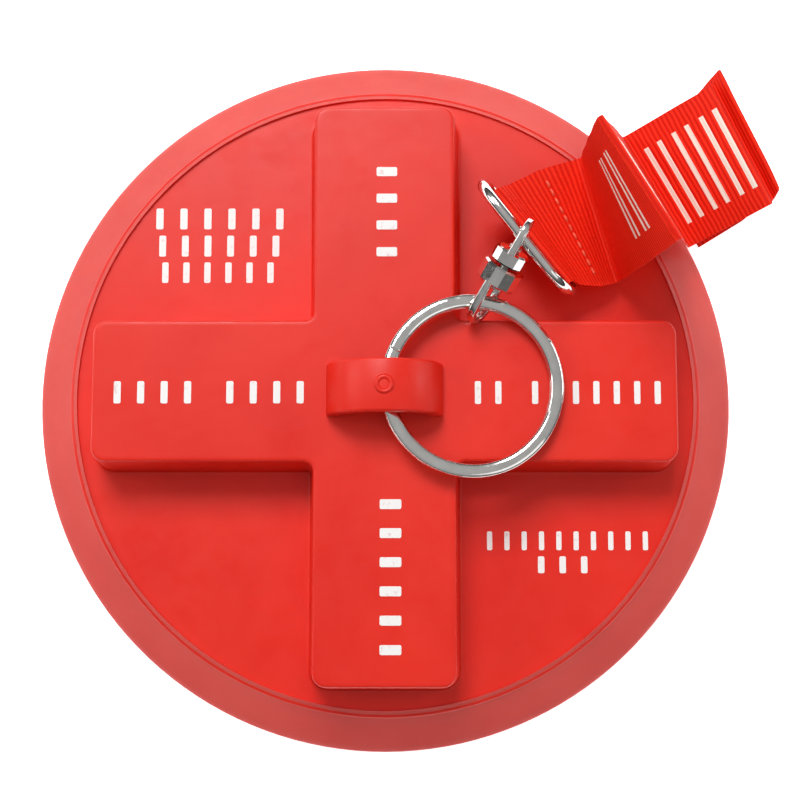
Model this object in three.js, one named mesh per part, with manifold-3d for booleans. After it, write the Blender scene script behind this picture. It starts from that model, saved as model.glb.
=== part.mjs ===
// Push-on cover for an aircraft fuel filler, with its key ring, swivel, D-ring and folded ribbon streamer.
// Millimetres, +Z up. Heights below are measured from the sealing plane under the rim; the whole assembly is
// then lowered so that the origin is the middle of the roof of the hollow that fits over the filler cap.
import * as THREE from "three";
import { mergeVertices } from "three/addons/utils/BufferGeometryUtils.js";
import Module from "manifold-3d";

const wasm = await Module();
wasm.setup();

// ---- Driving dimensions -------------------------------------------------------------------------

const TURN_SEGMENTS = 72; // facets round every turned ring of the cover
const GAP = 0.3; // air left between neighbouring solids
const EDGE_BREAK = 0.3; // chamfer on the sharp edges of the moulding

const RIM_RADIUS = 69.85; // 5.5 inch cover
const RIM_WIDTH = 2.4;
const RIM_EDGE_HEIGHT = 1.0;
const LIP_SLOPE = 0.8; // rise of the flared lip for each millimetre towards the centre
const LIP_THICKNESS = 1.5;

const PLATE_RADIUS = 62.9;
const PLATE_TOP = 7.2;
const PLATE_THICKNESS = 2.8;
const PLATE_EDGE_ROUND = 1.0;

const CROSS_HALF_LENGTH = 56;
const CROSS_HALF_WIDTH = 13.55;
const CROSS_TOP = 19.2;
const CROSS_CORNER = 2.6;
const CROSS_INNER_CORNER = 1.9;
const CROSS_DRAFT = 1.1; // how far each wall leans out over its height
const CROSS_WALL = 3.0;

const STRAP_HALF_SPAN = 11.2;
const STRAP_RISE = 10.0;
const STRAP_THICKNESS = 2.8;
const STRAP_WIDTH = 10.0;
const STRAP_ROOT = 0.6; // how deep the strap's feet run into the cross
const GATE_RADIUS = 1.1;
const GATE_DEPTH = 0.5;

const RING_MEAN_RADIUS = 16.2;
const RING_WIRE_WIDTH = 2.6; // across the wire, in the plane of the ring
const RING_COIL_HEIGHT = 1.2;
const RING_COIL_PITCH = 1.36;
const RING_TURNS = 1.93;
const RING_HINGE = new THREE.Vector3(0.5, 0.5, 23.6); // middle of the wire under the strap
const RING_TILT = THREE.MathUtils.degToRad(4.7); // the far side of the ring lies lower, on the cross

const SWIVEL_END = new THREE.Vector3(16.8, 12.9, 20.7); // tip of the eye that hangs on the key ring
const SWIVEL_AXIS = new THREE.Vector3(0.466, 0.772, 0.434).normalize();
const LOWER_EYE_LENGTH = 9;
const LOWER_EYE_WIDTH = 8.2;
const LOWER_BARREL_LENGTH = 3.9;
const LOWER_BARREL_DIAMETER = 8.2;
const LOWER_EYE_ROLL = THREE.MathUtils.degToRad(74);
const UPPER_EYE_LENGTH = 6.8;
const UPPER_EYE_WIDTH = 6.6;
const UPPER_BARREL_LENGTH = 2.9;
const UPPER_BARREL_DIAMETER = 6.8;
const UPPER_EYE_ROLL = THREE.MathUtils.degToRad(90);
const BARREL_GAP = 0.45;
const EYE_STRIP = 1.3;
const EYE_ROOT = 0.6; // how deep each eye runs into its barrel
const RIVET_DIAMETER = 1.6;
const RIVET_HOLE_DIAMETER = 2.0;
const RIVET_HEAD_DIAMETER = 2.6;
const RIVET_HEAD_HEIGHT = 0.9;
const BARREL_SIDES = 12;

const BAR_ANGLE = THREE.MathUtils.degToRad(-52); // plan direction of the D-ring's bars
const D_RING_TOP = new THREE.Vector3(26.3, 27.1, 29.3); // middle of the upper bar
const D_RING_BOTTOM = new THREE.Vector3(28.3, 29.9, 17.7); // middle of the lower bar, inside the ribbon loop
const D_RING_WIRE = 2.2;
const D_RING_OUTER_WIDTH = 28.4;
const D_RING_TOP_CORNER = 6.5;
const D_RING_BOTTOM_CORNER = 1.8;

const RIBBON_WIDTH = 26.2;
const RIBBON_THICKNESS = 0.6;
const TAB_PINCH_WIDTH = 23.2; // width of the ribbon where it passes through the D-ring
const TAB_LOOP_RADIUS = 2.2;
const TAB_BORE_RADIUS = 1.55;
const TAB_THICKNESS = 1.4; // two stitched layers
const STITCH_AT = 0.55; // place of the seam along the tab
const STITCH_DIAMETER = 0.5;

// Creases of the folded ribbon, in order from the tab: middle point and plan angle of the crease line.
const FIRST_VALLEY = crease(42.9, 35.5, 9.6, -73.5);
const FIRST_RIDGE = crease(45.0, 34.3, 46.4, -58.5);
const SECOND_VALLEY = crease(54.7, 41.9, 7.6, -60.5);
const SECOND_RIDGE = crease(69.8, 48.6, 18, -64);
const WAVE_VALLEY = crease(70.9, 50.0, 13.4, -64.5);
const OUTER_RIDGE = crease(72.7, 53.5, 18.2, -65);
const TAIL_VALLEY = crease(67.9, 49.3, 1.9, -64);
const TAIL_END = crease(58.1, 43.3, 1.9, -62);

const ROOF = CROSS_TOP - CROSS_WALL; // height of the roof of the hollow under the cross

// ---- Materials ----------------------------------------------------------------------------------

const softRed = new THREE.MeshStandardMaterial({ color: 0xe03a28, roughness: 0.42, metalness: 0 });
const lipRed = new THREE.MeshStandardMaterial({ color: 0xd8605a, roughness: 0.5, metalness: 0 });
const nickel = new THREE.MeshStandardMaterial({ color: 0xd2d0c8, roughness: 0.16, metalness: 1 });
const darkSteel = new THREE.MeshStandardMaterial({ color: 0x8f8d88, roughness: 0.35, metalness: 1 });
const ribbonRed = new THREE.MeshStandardMaterial({ color: 0xe02412, roughness: 0.7, metalness: 0 });
const threadRed = new THREE.MeshStandardMaterial({ color: 0xf04a30, roughness: 0.8, metalness: 0 });

// ---- Small helpers ------------------------------------------------------------------------------

const assembly = new THREE.Group();
assembly.position.z = -ROOF;

function addPart(name, geometry, material) {
  const mesh = new THREE.Mesh(geometry, material);
  mesh.name = name;
  assembly.add(mesh);
  return mesh;
}

function crease(x, y, z, degrees) {
  const angle = THREE.MathUtils.degToRad(degrees);
  const across = new THREE.Vector3(Math.cos(angle), Math.sin(angle), 0);
  return { middle: new THREE.Vector3(x, y, z), across };
}

function solid(geometry) {
  const bare = geometry.clone();
  bare.deleteAttribute("normal");
  bare.deleteAttribute("uv");
  const merged = mergeVertices(bare, 1e-4);
  return new wasm.Manifold(
    new wasm.Mesh({
      numProp: 3,
      vertProperties: new Float32Array(merged.attributes.position.array),
      triVerts: new Uint32Array(merged.index.array),
    }),
  );
}

function geometryOf(manifold) {
  const mesh = manifold.getMesh();
  const geometry = new THREE.BufferGeometry();
  geometry.setAttribute("position", new THREE.BufferAttribute(mesh.vertProperties, 3));
  geometry.setIndex(new THREE.BufferAttribute(mesh.triVerts, 1));
  return geometry;
}

// Moves every vertex of a geometry to the point that place() gives for it.
function mapped(geometry, place) {
  const position = geometry.attributes.position;
  for (let i = 0; i < position.count; i += 1) {
    const point = place(position.getX(i), position.getY(i), position.getZ(i));
    position.setXYZ(i, point.x, point.y, point.z);
  }
  geometry.deleteAttribute("normal");
  geometry.deleteAttribute("uv");
  return geometry;
}

// A closed profile of [radius, height] pairs, turned round the Z axis.
function turned(profile) {
  const points = profile.map(([radius, height]) => new THREE.Vector2(radius, height));
  return new THREE.LatheGeometry(points, TURN_SEGMENTS).rotateX(Math.PI / 2);
}

// ---- The moulded cover --------------------------------------------------------------------------

function lipHeight(radius) {
  return RIM_EDGE_HEIGHT + (RIM_RADIUS - radius) * LIP_SLOPE;
}

function sealRim() {
  const inner = RIM_RADIUS - RIM_WIDTH;
  return turned([
    [inner, 0],
    [RIM_RADIUS - EDGE_BREAK, 0],
    [RIM_RADIUS, EDGE_BREAK],
    [RIM_RADIUS, RIM_EDGE_HEIGHT],
    [inner, lipHeight(inner)],
    [inner, 0],
  ]);
}

function flexSkirt() {
  const outer = RIM_RADIUS - RIM_WIDTH - GAP;
  const inner = PLATE_RADIUS + GAP;
  return turned([
    [outer, lipHeight(outer) - LIP_THICKNESS],
    [outer, lipHeight(outer)],
    [inner, lipHeight(inner)],
    [inner, lipHeight(inner) - LIP_THICKNESS],
    [outer, lipHeight(outer) - LIP_THICKNESS],
  ]);
}

function plateDisc() {
  const bottom = PLATE_TOP - PLATE_THICKNESS;
  return turned([
    [0, bottom],
    [PLATE_RADIUS, bottom],
    [PLATE_RADIUS, PLATE_TOP - PLATE_EDGE_ROUND],
    [PLATE_RADIUS - EDGE_BREAK, PLATE_TOP - EDGE_BREAK],
    [PLATE_RADIUS - PLATE_EDGE_ROUND, PLATE_TOP],
    [0, PLATE_TOP],
  ]);
}

// Plus-shaped outline with rounded outer and inner corners.
function crossOutline(halfLength, halfWidth, corner, innerCorner) {
  const shape = new THREE.Shape();
  for (let arm = 0; arm < 4; arm += 1) {
    const turn = (arm * Math.PI) / 2;
    const toFrame = (along, side) =>
      new THREE.Vector2(
        along * Math.cos(turn) - side * Math.sin(turn),
        along * Math.sin(turn) + side * Math.cos(turn),
      );
    const arc = (along, side, radius, from, to, clockwise) => {
      const centre = toFrame(along, side);
      shape.absarc(centre.x, centre.y, radius, from + turn, to + turn, clockwise);
    };
    const tip = halfLength - corner;
    const side = halfWidth - corner;
    arc(tip, -side, corner, -Math.PI / 2, 0, false);
    arc(tip, side, corner, 0, Math.PI / 2, false);
    const notch = halfWidth + innerCorner;
    arc(notch, notch, innerCorner, -Math.PI / 2, -Math.PI, true);
  }
  shape.closePath();
  return shape;
}

// The raised cross: wide at its foot, narrower at its top.
function crossBlock() {
  const height = CROSS_TOP - PLATE_TOP;
  const outline = crossOutline(CROSS_HALF_LENGTH, CROSS_HALF_WIDTH, CROSS_CORNER, CROSS_INNER_CORNER);
  const options = {
    depth: 1,
    curveSegments: 4,
    bevelThickness: height,
    bevelSize: CROSS_DRAFT,
    bevelSegments: 1,
  };
  const block = solid(new THREE.ExtrudeGeometry(outline, options).translate(0, 0, PLATE_TOP - 1));
  const below = new THREE.BoxGeometry(4 * RIM_RADIUS, 4 * RIM_RADIUS, 4 * RIM_RADIUS);
  return block.subtract(solid(below.translate(0, 0, PLATE_TOP - 0.5 - 2 * RIM_RADIUS)));
}

function crossHollow() {
  const halfLength = CROSS_HALF_LENGTH - CROSS_WALL;
  const halfWidth = CROSS_HALF_WIDTH - CROSS_WALL;
  const outline = crossOutline(halfLength, halfWidth, CROSS_CORNER, CROSS_INNER_CORNER);
  const hollow = new THREE.ExtrudeGeometry(outline, { depth: ROOF, curveSegments: 4, bevelEnabled: false });
  return solid(hollow);
}

// The strap is an arch that springs from the top of the cross.
function strapArch() {
  const outline = new THREE.Shape();
  const foot = -STRAP_ROOT;
  const innerSpan = STRAP_HALF_SPAN - STRAP_THICKNESS;
  const innerRise = STRAP_RISE - STRAP_THICKNESS;
  outline.moveTo(STRAP_HALF_SPAN, foot);
  outline.absellipse(0, 0, STRAP_HALF_SPAN, STRAP_RISE, 0, Math.PI, false, 0);
  outline.lineTo(-STRAP_HALF_SPAN, foot);
  outline.lineTo(-innerSpan, foot);
  outline.absellipse(0, 0, innerSpan, innerRise, Math.PI, 0, true, 0);
  outline.lineTo(innerSpan, foot);
  outline.closePath();
  const arch = new THREE.ExtrudeGeometry(outline, { depth: STRAP_WIDTH, curveSegments: 14, bevelEnabled: false });
  arch.translate(0, 0, -STRAP_WIDTH / 2).rotateX(Math.PI / 2).translate(0, 0, CROSS_TOP);
  const gate = new THREE.CylinderGeometry(GATE_RADIUS, GATE_RADIUS, 2 * GATE_DEPTH, BARREL_SIDES);
  gate.rotateX(Math.PI / 2).translate(0, 0, CROSS_TOP + STRAP_RISE);
  return solid(arch).subtract(solid(gate));
}

function capMoulding() {
  const shell = solid(plateDisc()).add(crossBlock()).subtract(crossHollow());
  return geometryOf(shell.add(strapArch()));
}

// ---- Key ring -----------------------------------------------------------------------------------

// Two flat coils wound side by side from one wire, hinged at the wire under the strap.
function splitRing() {
  const coil = new THREE.CylinderGeometry(1, 1, 1, 8, 84).rotateY(Math.PI / 8);
  const stretch = 1 / Math.cos(Math.PI / 8);
  mapped(coil, (x, y, z) => {
    const turns = (y + 0.5) * RING_TURNS;
    const angle = turns * 2 * Math.PI + Math.PI;
    const radius = RING_MEAN_RADIUS + (x * stretch * RING_WIRE_WIDTH) / 2;
    const level = (turns - RING_TURNS / 2) * RING_COIL_PITCH * 0.5 + coilStep(turns);
    const height = level + (z * stretch * RING_COIL_HEIGHT) / 2;
    return new THREE.Vector3(RING_MEAN_RADIUS + radius * Math.cos(angle), radius * Math.sin(angle), height);
  });
  coil.rotateY(RING_TILT).translate(RING_HINGE.x, RING_HINGE.y, RING_HINGE.z);
  return coil;
}

// The wire steps from the first coil to the second over a short stretch, and runs level elsewhere.
function coilStep(turns) {
  const middle = RING_TURNS / 2;
  const steep = THREE.MathUtils.smoothstep(turns, middle - 0.1, middle + 0.1);
  return (steep - 0.5) * RING_COIL_PITCH - (turns - middle) * RING_COIL_PITCH * 0.5;
}

// ---- Swivel -------------------------------------------------------------------------------------

// Frame of the swivel: local Z runs along its axis from the key ring to the D-ring.
function swivelFrame(distance, roll) {
  const side = new THREE.Vector3().crossVectors(new THREE.Vector3(0, 0, 1), SWIVEL_AXIS).normalize();
  const up = new THREE.Vector3().crossVectors(SWIVEL_AXIS, side);
  const frame = new THREE.Matrix4().makeBasis(side, up, SWIVEL_AXIS);
  frame.multiply(new THREE.Matrix4().makeRotationZ(roll));
  return frame.setPosition(SWIVEL_END.clone().addScaledVector(SWIVEL_AXIS, distance));
}

// An eye bent from a strip, joined to its barrel, which starts at local z = 0. The eye goes to -length.
function eyeWithBarrel(length, width, barrelLength, barrelDiameter) {
  const loop = new THREE.Shape();
  const half = width / 2;
  loop.moveTo(half, EYE_ROOT);
  loop.lineTo(-half, EYE_ROOT);
  loop.lineTo(-half, -(length - half));
  loop.absarc(0, -(length - half), half, Math.PI, 2 * Math.PI, false);
  loop.closePath();
  const opening = new THREE.Path();
  const inner = half - EYE_STRIP;
  opening.moveTo(inner, 0);
  opening.lineTo(-inner, 0);
  opening.lineTo(-inner, -(length - half));
  opening.absarc(0, -(length - half), inner, Math.PI, 2 * Math.PI, false);
  opening.closePath();
  loop.holes.push(opening);
  const eye = new THREE.ExtrudeGeometry(loop, { depth: EYE_STRIP, curveSegments: 8, bevelEnabled: false });
  eye.translate(0, 0, -EYE_STRIP / 2).rotateX(Math.PI / 2);
  const barrel = new THREE.CylinderGeometry(barrelDiameter / 2, barrelDiameter / 2, barrelLength, BARREL_SIDES);
  barrel.rotateX(Math.PI / 2).translate(0, 0, barrelLength / 2);
  const cut = new THREE.CylinderGeometry(
    RIVET_HOLE_DIAMETER / 2,
    RIVET_HOLE_DIAMETER / 2,
    barrelLength + 2,
    BARREL_SIDES,
  );
  cut.rotateX(Math.PI / 2).translate(0, 0, barrelLength / 2);
  return solid(eye).add(solid(barrel)).subtract(solid(cut));
}

function lowerEye() {
  const body = eyeWithBarrel(LOWER_EYE_LENGTH, LOWER_EYE_WIDTH, LOWER_BARREL_LENGTH, LOWER_BARREL_DIAMETER);
  return geometryOf(body).applyMatrix4(swivelFrame(LOWER_EYE_LENGTH, LOWER_EYE_ROLL));
}

function upperEye() {
  const body = eyeWithBarrel(UPPER_EYE_LENGTH, UPPER_EYE_WIDTH, UPPER_BARREL_LENGTH, UPPER_BARREL_DIAMETER);
  const start = LOWER_EYE_LENGTH + LOWER_BARREL_LENGTH + BARREL_GAP + UPPER_BARREL_LENGTH;
  const flip = new THREE.Matrix4().makeRotationX(Math.PI);
  return geometryOf(body).applyMatrix4(swivelFrame(start, UPPER_EYE_ROLL).multiply(flip));
}

function rivet() {
  const shaft = RIVET_DIAMETER / 2;
  const head = RIVET_HEAD_DIAMETER / 2;
  const reach = LOWER_BARREL_LENGTH + BARREL_GAP + UPPER_BARREL_LENGTH + GAP;
  const points = [
    [0, -GAP - RIVET_HEAD_HEIGHT],
    [head, -GAP - RIVET_HEAD_HEIGHT],
    [head, -GAP],
    [shaft, -GAP],
    [shaft, reach],
    [head, reach],
    [head, reach + RIVET_HEAD_HEIGHT],
    [0, reach + RIVET_HEAD_HEIGHT],
  ].map(([radius, height]) => new THREE.Vector2(radius, height));
  const body = new THREE.LatheGeometry(points, BARREL_SIDES).rotateX(Math.PI / 2);
  return body.applyMatrix4(swivelFrame(LOWER_EYE_LENGTH, 0));
}

// ---- D-ring -------------------------------------------------------------------------------------

// Centre line of the wire in the ring's own plane: x along the bars, y from the lower bar up to the upper one.
function dRingPath(height) {
  const half = (D_RING_OUTER_WIDTH - D_RING_WIRE) / 2;
  const path = new THREE.Path();
  path.moveTo(0, 0);
  path.lineTo(half - D_RING_BOTTOM_CORNER, 0);
  path.absarc(half - D_RING_BOTTOM_CORNER, D_RING_BOTTOM_CORNER, D_RING_BOTTOM_CORNER, -Math.PI / 2, 0, false);
  path.lineTo(half, height - D_RING_TOP_CORNER);
  path.absarc(half - D_RING_TOP_CORNER, height - D_RING_TOP_CORNER, D_RING_TOP_CORNER, 0, Math.PI / 2, false);
  path.lineTo(D_RING_TOP_CORNER - half, height);
  path.absarc(
    D_RING_TOP_CORNER - half,
    height - D_RING_TOP_CORNER,
    D_RING_TOP_CORNER,
    Math.PI / 2,
    Math.PI,
    false,
  );
  path.lineTo(-half, D_RING_BOTTOM_CORNER);
  path.absarc(
    D_RING_BOTTOM_CORNER - half,
    D_RING_BOTTOM_CORNER,
    D_RING_BOTTOM_CORNER,
    Math.PI,
    1.5 * Math.PI,
    false,
  );
  path.lineTo(0, 0);
  return path;
}

// A plain torus of radius 1 with a slim wire gives the mesh; each point is then laid along the real path.
function dRing() {
  const slimming = 4;
  const bar = new THREE.Vector3(Math.cos(BAR_ANGLE), Math.sin(BAR_ANGLE), 0);
  const rise = D_RING_TOP.clone().sub(D_RING_BOTTOM);
  const height = rise.length();
  const up = rise.clone().addScaledVector(bar, -rise.dot(bar)).normalize();
  const out = new THREE.Vector3().crossVectors(bar, up);
  const path = dRingPath(height);
  const torus = new THREE.TorusGeometry(1, D_RING_WIRE / 2 / slimming, 8, 64);
  return mapped(torus, (x, y, z) => {
    const turn = Math.atan2(y, x) / (2 * Math.PI);
    const u = turn < 0 ? turn + 1 : turn;
    const centre = path.getPointAt(Math.min(u, 1));
    const tangent = path.getTangentAt(Math.min(u, 1));
    const outward = (Math.hypot(x, y) - 1) * slimming;
    const point = D_RING_BOTTOM.clone();
    point.addScaledVector(bar, centre.x + tangent.y * outward);
    point.addScaledVector(up, centre.y - tangent.x * outward);
    return point.addScaledVector(out, z * slimming);
  });
}

// ---- Ribbon -------------------------------------------------------------------------------------

// How far a panel stops short of its crease, so that the two plates of a fold don't touch.
function foldTrim(before, at, after) {
  const back = before.middle.clone().sub(at.middle).normalize();
  const ahead = after.middle.clone().sub(at.middle).normalize();
  const inside = Math.acos(THREE.MathUtils.clamp(back.dot(ahead), -1, 1));
  return (RIBBON_THICKNESS / 2 + GAP) / Math.tan(inside / 2) + GAP / 2;
}

// Point of a flat strip between two creases: along from 0 to 1, side from -0.5 to 0.5.
function stripPoint(from, to, along, side) {
  const middle = from.middle.clone().lerp(to.middle, along);
  const across = from.across.clone().lerp(to.across, along).normalize();
  return middle.addScaledVector(across, side * RIBBON_WIDTH);
}

function stripNormal(from, to) {
  const ahead = to.middle.clone().sub(from.middle);
  const across = from.across.clone().add(to.across);
  return ahead.cross(across).normalize();
}

function panel(from, to, trimStart, trimEnd) {
  const length = from.middle.distanceTo(to.middle);
  const start = trimStart / length;
  const end = 1 - trimEnd / length;
  const normal = stripNormal(from, to);
  const box = new THREE.BoxGeometry(1, 1, 1, 8, 6, 1);
  return mapped(box, (x, y, z) => {
    const along = start + (x + 0.5) * (end - start);
    return stripPoint(from, to, along, y).addScaledVector(normal, z * RIBBON_THICKNESS);
  });
}

// A strip with one bend in it, made as one sheet: its section is an open zigzag of one thickness.
function bentPanel(creases, trimStart, trimEnd) {
  const [from, bend, to] = creases;
  const first = from.middle.distanceTo(bend.middle);
  const second = bend.middle.distanceTo(to.middle);
  const normals = [stripNormal(from, bend), stripNormal(bend, to)];
  const mitre = normals[0].clone().add(normals[1]).normalize();
  const reach = 1 / Math.max(mitre.dot(normals[0]), 0.4);
  const box = new THREE.BoxGeometry(2, 1, 1, 2, 4, 1);
  return mapped(box, (x, y, z) => {
    const offset = z * RIBBON_THICKNESS;
    if (x < -0.5) return stripPoint(from, bend, trimStart / first, y).addScaledVector(normals[0], offset);
    if (x > 0.5) return stripPoint(bend, to, 1 - trimEnd / second, y).addScaledVector(normals[1], offset);
    return stripPoint(from, bend, 1, y).addScaledVector(mitre, offset * reach);
  });
}

// Frame of the tab: along runs from the D-ring's lower bar (0) to the first valley (1).
function tabPoint(along, lift, side) {
  const barAcross = new THREE.Vector3(Math.cos(BAR_ANGLE), Math.sin(BAR_ANGLE), 0);
  const clamped = Math.max(along, 0);
  const ahead = FIRST_VALLEY.middle.clone().sub(D_RING_BOTTOM);
  const across = barAcross.clone().lerp(FIRST_VALLEY.across, clamped).normalize();
  const widening = Math.min(clamped / STITCH_AT, 1);
  const width = THREE.MathUtils.lerp(TAB_PINCH_WIDTH, RIBBON_WIDTH, widening);
  const square = ahead.clone().addScaledVector(barAcross, -ahead.dot(barAcross)).normalize();
  const normal = new THREE.Vector3().crossVectors(square, across).normalize().negate();
  const point = D_RING_BOTTOM.clone().addScaledVector(ahead, clamped);
  if (along < 0) point.addScaledVector(square, along * ahead.length());
  return point.addScaledVector(across, side * width).addScaledVector(normal, lift);
}

// Looped and doubled ribbon: a round eye about the bar that runs into two stitched layers.
function ribbonTab() {
  const length = FIRST_VALLEY.middle.distanceTo(D_RING_BOTTOM);
  const half = TAB_THICKNESS / 2;
  const end = length - foldTrim(barCrease(), FIRST_VALLEY, FIRST_RIDGE);
  const leave = Math.acos(half / TAB_LOOP_RADIUS);
  const outline = new THREE.Shape();
  outline.moveTo(end, -half);
  outline.lineTo(end, half);
  outline.lineTo(TAB_LOOP_RADIUS * 2.2, half);
  outline.absarc(0, 0, TAB_LOOP_RADIUS, Math.PI / 2 - 0.35, 1.5 * Math.PI + 0.35, false);
  outline.lineTo(TAB_LOOP_RADIUS * 2.2, -half);
  outline.closePath();
  const bore = new THREE.Path();
  bore.absarc(0, 0, TAB_BORE_RADIUS, 0, 2 * Math.PI, true);
  outline.holes.push(bore);
  const tab = new THREE.ExtrudeGeometry(outline, { depth: 1, curveSegments: 8, bevelEnabled: false });
  return mapped(tab, (x, y, z) => tabPoint(x / length, y, z - 0.5));
}

function barCrease() {
  return { middle: D_RING_BOTTOM, across: FIRST_VALLEY.across };
}

// Seam thread across the tab, lying on its upper face.
function tabStitching() {
  const lift = TAB_THICKNESS / 2 + GAP + STITCH_DIAMETER / 2;
  const thread = new THREE.CylinderGeometry(STITCH_DIAMETER / 2, STITCH_DIAMETER / 2, 1, 6, 12);
  const length = FIRST_VALLEY.middle.distanceTo(D_RING_BOTTOM);
  return mapped(thread, (x, y, z) => tabPoint(STITCH_AT + x / length, lift + z, -y * 0.9));
}

// ---- Assembly -----------------------------------------------------------------------------------

addPart("seal_rim", sealRim(), lipRed);
addPart("flex_skirt", flexSkirt(), lipRed);
addPart("cap_moulding", capMoulding(), softRed);
addPart("split_ring", splitRing(), nickel);
addPart("swivel_lower_eye", lowerEye(), nickel);
addPart("swivel_rivet", rivet(), darkSteel);
addPart("swivel_upper_eye", upperEye(), nickel);
addPart("d_ring", dRing(), nickel);
addPart("ribbon_tab", ribbonTab(), ribbonRed);
addPart("tab_stitching", tabStitching(), threadRed);

const valleyTrim = foldTrim(barCrease(), FIRST_VALLEY, FIRST_RIDGE);
const ridgeTrim = foldTrim(FIRST_VALLEY, FIRST_RIDGE, SECOND_VALLEY);
const secondValleyTrim = foldTrim(FIRST_RIDGE, SECOND_VALLEY, SECOND_RIDGE);
const waveTrim = foldTrim(SECOND_VALLEY, SECOND_RIDGE, WAVE_VALLEY);
const outerTrim = foldTrim(WAVE_VALLEY, OUTER_RIDGE, TAIL_VALLEY);
addPart("ribbon_panel_1", panel(FIRST_VALLEY, FIRST_RIDGE, valleyTrim, ridgeTrim), ribbonRed);
addPart("ribbon_panel_2", panel(FIRST_RIDGE, SECOND_VALLEY, ridgeTrim, secondValleyTrim), ribbonRed);
addPart("ribbon_panel_3", panel(SECOND_VALLEY, SECOND_RIDGE, secondValleyTrim, waveTrim), ribbonRed);
addPart("ribbon_wave", bentPanel([SECOND_RIDGE, WAVE_VALLEY, OUTER_RIDGE], waveTrim, outerTrim), ribbonRed);
addPart("ribbon_tail", bentPanel([OUTER_RIDGE, TAIL_VALLEY, TAIL_END], outerTrim, 0), ribbonRed);

export default assembly;
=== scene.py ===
"""Looks of a push-on fuel filler cover with its key ring, swivel, D-ring and folded ribbon streamer.

Shapes are written in millimetres above the sealing plane of the rim and placed in the row frame by place().
"""
import math

import bmesh
import bpy
from mathutils import Matrix, Vector


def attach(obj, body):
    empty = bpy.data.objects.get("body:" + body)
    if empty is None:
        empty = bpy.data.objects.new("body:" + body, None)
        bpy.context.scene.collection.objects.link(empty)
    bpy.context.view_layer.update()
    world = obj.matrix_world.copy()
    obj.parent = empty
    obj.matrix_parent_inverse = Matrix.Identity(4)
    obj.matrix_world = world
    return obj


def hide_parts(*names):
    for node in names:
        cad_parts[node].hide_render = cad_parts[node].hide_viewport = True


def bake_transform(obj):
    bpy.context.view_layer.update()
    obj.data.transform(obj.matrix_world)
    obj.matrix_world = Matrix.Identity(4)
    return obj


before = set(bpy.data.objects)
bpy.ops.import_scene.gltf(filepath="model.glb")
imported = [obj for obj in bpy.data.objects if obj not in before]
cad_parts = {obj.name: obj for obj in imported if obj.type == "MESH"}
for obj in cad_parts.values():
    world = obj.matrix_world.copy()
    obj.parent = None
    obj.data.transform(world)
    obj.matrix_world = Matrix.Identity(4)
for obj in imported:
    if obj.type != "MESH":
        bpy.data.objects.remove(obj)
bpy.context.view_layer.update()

MM = 0.001
ROOF = 16.2  # height of the row's origin above the sealing plane

# Cover
RIM_RADIUS = 69.85
RIM_EDGE = 1.0
LIP_SLOPE = 0.8
LIP_THICKNESS = 1.5
PLATE_RADIUS = 62.9
PLATE_TOP = 7.2
PLATE_UNDER = 4.4
CROSS_LENGTH = 56.0
CROSS_WIDTH = 13.55
CROSS_TOP = 19.2
CROSS_CORNER = 2.6
CROSS_NOTCH = 1.9
CROSS_DRAFT = 1.1
CROSS_WALL = 3.0
EDGE_ROUND = 0.55
FLAT_BORDER = 0.4  # strip beside each rounded edge that keeps the flat faces flat in shading
TURN_STEPS = 144
PLATE_EDGE_ROUND = 0.9
WALL_FOOT_FILLET = 0.5

# Strap
STRAP_SPAN = 11.2
STRAP_RISE = 10.0
STRAP_THICKNESS = 2.8
STRAP_WIDTH = 10.0
STRAP_STEPS = 40
STRAP_FOOT_STEPS = 2  # stations that sink into the cross at each end
STRAP_FOOT_DROP = 0.5  # depth of each of them
GATE_RADIUS = 1.1

# Key ring
RING_RADIUS = 16.2
RING_WIRE_WIDTH = 2.6
RING_WIRE_HEIGHT = 1.25
RING_PITCH = 1.36
RING_TURNS = 1.93
RING_HINGE = Vector((0.5, 0.5, 23.6))
RING_TILT = math.radians(4.7)

# Swivel
SWIVEL_END = Vector((16.8, 12.9, 20.7))
SWIVEL_AXIS = Vector((0.466, 0.772, 0.434)).normalized()
LOWER_EYE = {"length": 9.0, "width": 8.2, "barrel": 3.9, "diameter": 8.2}
UPPER_EYE = {"length": 6.8, "width": 6.6, "barrel": 2.9, "diameter": 6.8}
LOWER_ROLL = math.radians(74)
UPPER_ROLL = math.radians(90)
BARREL_GAP = 0.45
EYE_STRIP = 1.3
BARREL_SIDES = 12
RIVET_HOLE = 1.0
RIVET_SHANK = 0.8
RIVET_HEAD = 1.3

# D-ring
BAR = Vector((math.cos(math.radians(-52)), math.sin(math.radians(-52)), 0.0))
D_TOP = Vector((26.3, 27.1, 29.3))
D_BOTTOM = Vector((28.3, 29.9, 17.7))
D_WIRE = 2.2
D_WIDTH = 28.4
D_TOP_CORNER = 6.5
D_BOTTOM_CORNER = 1.8

# Ribbon
RIBBON_WIDTH = 26.2
RIBBON_THICKNESS = 0.5
TAB_PINCH = 23.2
TAB_LIFT = 0.36  # height of each layer of the doubled tab off its middle
TAB_LOOP = 1.75
TAB_RETURN = 16.5  # length of the folded-back layer
TAB_CLEAR = 3.2  # distance from the bar where the loop ends and the two layers begin
LOOP_OPENING = 62  # degrees to each side of the tab that the loop leaves open
STITCH_AT = 0.55
STITCH_COUNT = 11
STITCH_LENGTH = 1.55
SEAM_LENGTH = 21.5
RIB_PITCH = 0.95
WARP_PITCH = 0.42
CREAM_INK = (0.93, 0.87, 0.76, 1)
SHEET_SIDES = 14  # faces across the ribbon
UV_UNIT = 100.0  # millimetres of cloth in one unit of its UV map


def crease(x, y, z, degrees, radius):
    """Middle point and direction of a crease across the ribbon, with the radius that the cloth bends to."""
    angle = math.radians(degrees)
    across = Vector((math.cos(angle), math.sin(angle), 0))
    return {"middle": Vector((x, y, z)), "across": across, "radius": radius}


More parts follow.
